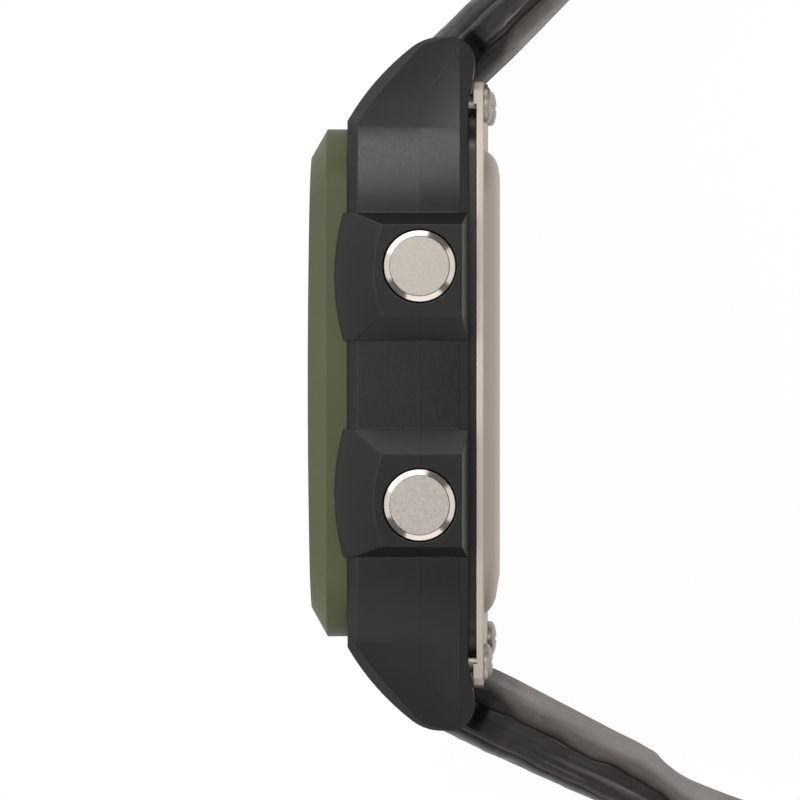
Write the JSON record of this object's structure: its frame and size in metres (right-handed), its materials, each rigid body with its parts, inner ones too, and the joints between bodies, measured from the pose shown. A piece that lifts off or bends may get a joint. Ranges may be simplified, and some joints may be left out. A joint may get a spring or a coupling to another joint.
{
  "type": "digital wristwatch",
  "caption": "Square digital wristwatch with guarded side pushers, an olive bezel, a steel case back and a padded leather strap with keepers and a tongue buckle.",
  "frame": {"origin": "middle of the case back's raised outer face, which lies on the wrist", "axes": "+X out of the case back, towards the wrist; +Y towards 12 o'clock; +Z towards 3 o'clock, up as the watch lies in the picture"},
  "size_m": [0.1102, 0.0828, 0.038],
  "materials": {
    "case_resin": "moulded black resin, fine satin grain",
    "bezel_coat": "matte olive green",
    "crystal_glass": "clear, polished",
    "black_rubber": "soft black seal rubber",
    "mask_print": "dark printed mask",
    "display_glass": "grey-green reflective display glass",
    "display_digits": "dark display segments",
    "light_guide": "milky light guide",
    "module_plastic": "off-white moulding",
    "contact_rubber": "striped contact rubber",
    "board_green": "green solder mask",
    "chip_black": "black sealing resin",
    "tray_plastic": "dark grey moulding",
    "plain_steel": "plain drawn steel",
    "cell_steel": "smooth plated steel",
    "brass": "plain turned brass",
    "back_steel": "lightly brushed, warm grey",
    "screw_steel": "polished heads",
    "pusher_steel": "brushed disc with a polished edge",
    "bar_steel": "plain drawn steel",
    "strap_leather": "black, soft sheen, creased",
    "strap_foam": "pressed padding",
    "lining_leather": "dark grey-brown, smooth",
    "buckle_steel": "brushed, polished edges"
  },
  "bodies": {
    "case": {"case_body": "case_resin", "bezel": "bezel_coat", "crystal": "crystal_glass", "crystal_gasket": "black_rubber", "dial_mask": "mask_print", "lcd_panel": "display_glass", "lcd_digits": "display_digits", "light_guide": "light_guide", "module_frame": "module_plastic", "contact_strips": "contact_rubber", "circuit_board": "board_green", "main_chip": "chip_black", "quartz_can": "plain_steel", "battery_tray": "tray_plastic", "battery": "cell_steel", "battery_clip": "plain_steel", "button_contacts": "brass", "buzzer_disc": "brass", "buzzer_spring": "plain_steel", "case_gasket": "black_rubber", "case_back": "back_steel", "back_screws": "screw_steel", "screw_inserts": "brass", "pusher_tubes": "brass", "spring_bar_12": "bar_steel", "spring_bar_6": "bar_steel"},
    "button_2": {"pusher_2": "pusher_steel", "pusher_seal_2": "black_rubber", "pusher_clip_2": "plain_steel", "pusher_spring_2": "plain_steel"},
    "button_4": {"pusher_4": "pusher_steel", "pusher_seal_4": "black_rubber", "pusher_clip_4": "plain_steel", "pusher_spring_4": "plain_steel"},
    "button_8": {"pusher_8": "pusher_steel", "pusher_seal_8": "black_rubber", "pusher_clip_8": "plain_steel", "pusher_spring_8": "plain_steel"},
    "button_10": {"pusher_10": "pusher_steel", "pusher_seal_10": "black_rubber", "pusher_clip_10": "plain_steel", "pusher_spring_10": "plain_steel"},
    "bar_12_tip_right_body": {"bar_12_tip_right": "bar_steel"},
    "bar_12_tip_left_body": {"bar_12_tip_left": "bar_steel"},
    "bar_6_tip_right_body": {"bar_6_tip_right": "bar_steel"},
    "bar_6_tip_left_body": {"bar_6_tip_left": "bar_steel"},
    "strap_12": {"strap_12_top": "strap_leather", "strap_12_pad": "strap_foam", "strap_12_lining": "lining_leather", "fixed_keeper": "strap_leather", "buckle_bar": "buckle_steel"},
    "keeper": {"sliding_keeper": "strap_leather"},
    "buckle": {"buckle_frame": "buckle_steel"},
    "tongue": {"buckle_tongue": "buckle_steel"},
    "strap_6": {"strap_6_top": "strap_leather", "strap_6_pad": "strap_foam", "strap_6_lining": "lining_leather"}
  },
  "joints": [
    {"name": "pusher_2_press", "type": "slide", "parent": "case", "child": "button_2", "axis": [0, 0, -1], "range_m": [0, 0.0009], "stiffness_N_per_m": 1500, "deforming": ["pusher_spring_2"]},
    {"name": "pusher_4_press", "type": "slide", "parent": "case", "child": "button_4", "axis": [0, 0, -1], "range_m": [0, 0.0009], "stiffness_N_per_m": 1500, "deforming": ["pusher_spring_4"]},
    {"name": "pusher_8_press", "type": "slide", "parent": "case", "child": "button_8", "axis": [0, 0, 1], "range_m": [0, 0.0009], "stiffness_N_per_m": 1500, "deforming": ["pusher_spring_8"]},
    {"name": "pusher_10_press", "type": "slide", "parent": "case", "child": "button_10", "axis": [0, 0, 1], "range_m": [0, 0.0009], "stiffness_N_per_m": 1500, "deforming": ["pusher_spring_10"]},
    {"name": "bar_12_tip_right_press", "type": "slide", "parent": "case", "child": "bar_12_tip_right_body", "axis": [0, 0, -1], "range_m": [0, 0.001], "stiffness_N_per_m": 3000},
    {"name": "bar_12_tip_left_press", "type": "slide", "parent": "case", "child": "bar_12_tip_left_body", "axis": [0, 0, 1], "range_m": [0, 0.001], "stiffness_N_per_m": 3000},
    {"name": "bar_6_tip_right_press", "type": "slide", "parent": "case", "child": "bar_6_tip_right_body", "axis": [0, 0, -1], "range_m": [0, 0.001], "stiffness_N_per_m": 3000},
    {"name": "bar_6_tip_left_press", "type": "slide", "parent": "case", "child": "bar_6_tip_left_body", "axis": [0, 0, 1], "range_m": [0, 0.001], "stiffness_N_per_m": 3000},
    {"name": "strap_12_swing", "type": "hinge", "parent": "case", "child": "strap_12", "pos_m": [-0.00277, 0.02155, 0], "axis": [0, 0, 1], "range_deg": [-19, 50]},
    {"name": "strap_6_swing", "type": "hinge", "parent": "case", "child": "strap_6", "pos_m": [-0.00277, -0.02155, 0], "axis": [0, 0, -1], "range_deg": [-4, 60]},
    {"name": "keeper_slide", "type": "slide", "parent": "strap_12", "child": "keeper", "axis": [1, 0, 0], "range_m": [-0.003, 0.005]},
    {"name": "buckle_swing", "type": "hinge", "parent": "strap_12", "child": "buckle", "pos_m": [0.06516, 0.04306, 0], "axis": [0, 0, 1], "range_deg": [-20, 40]},
    {"name": "tongue_swing", "type": "hinge", "parent": "buckle", "child": "tongue", "pos_m": [0.06516, 0.04306, 0], "axis": [0, 0, 1], "range_deg": [0, 75]}
  ]
}
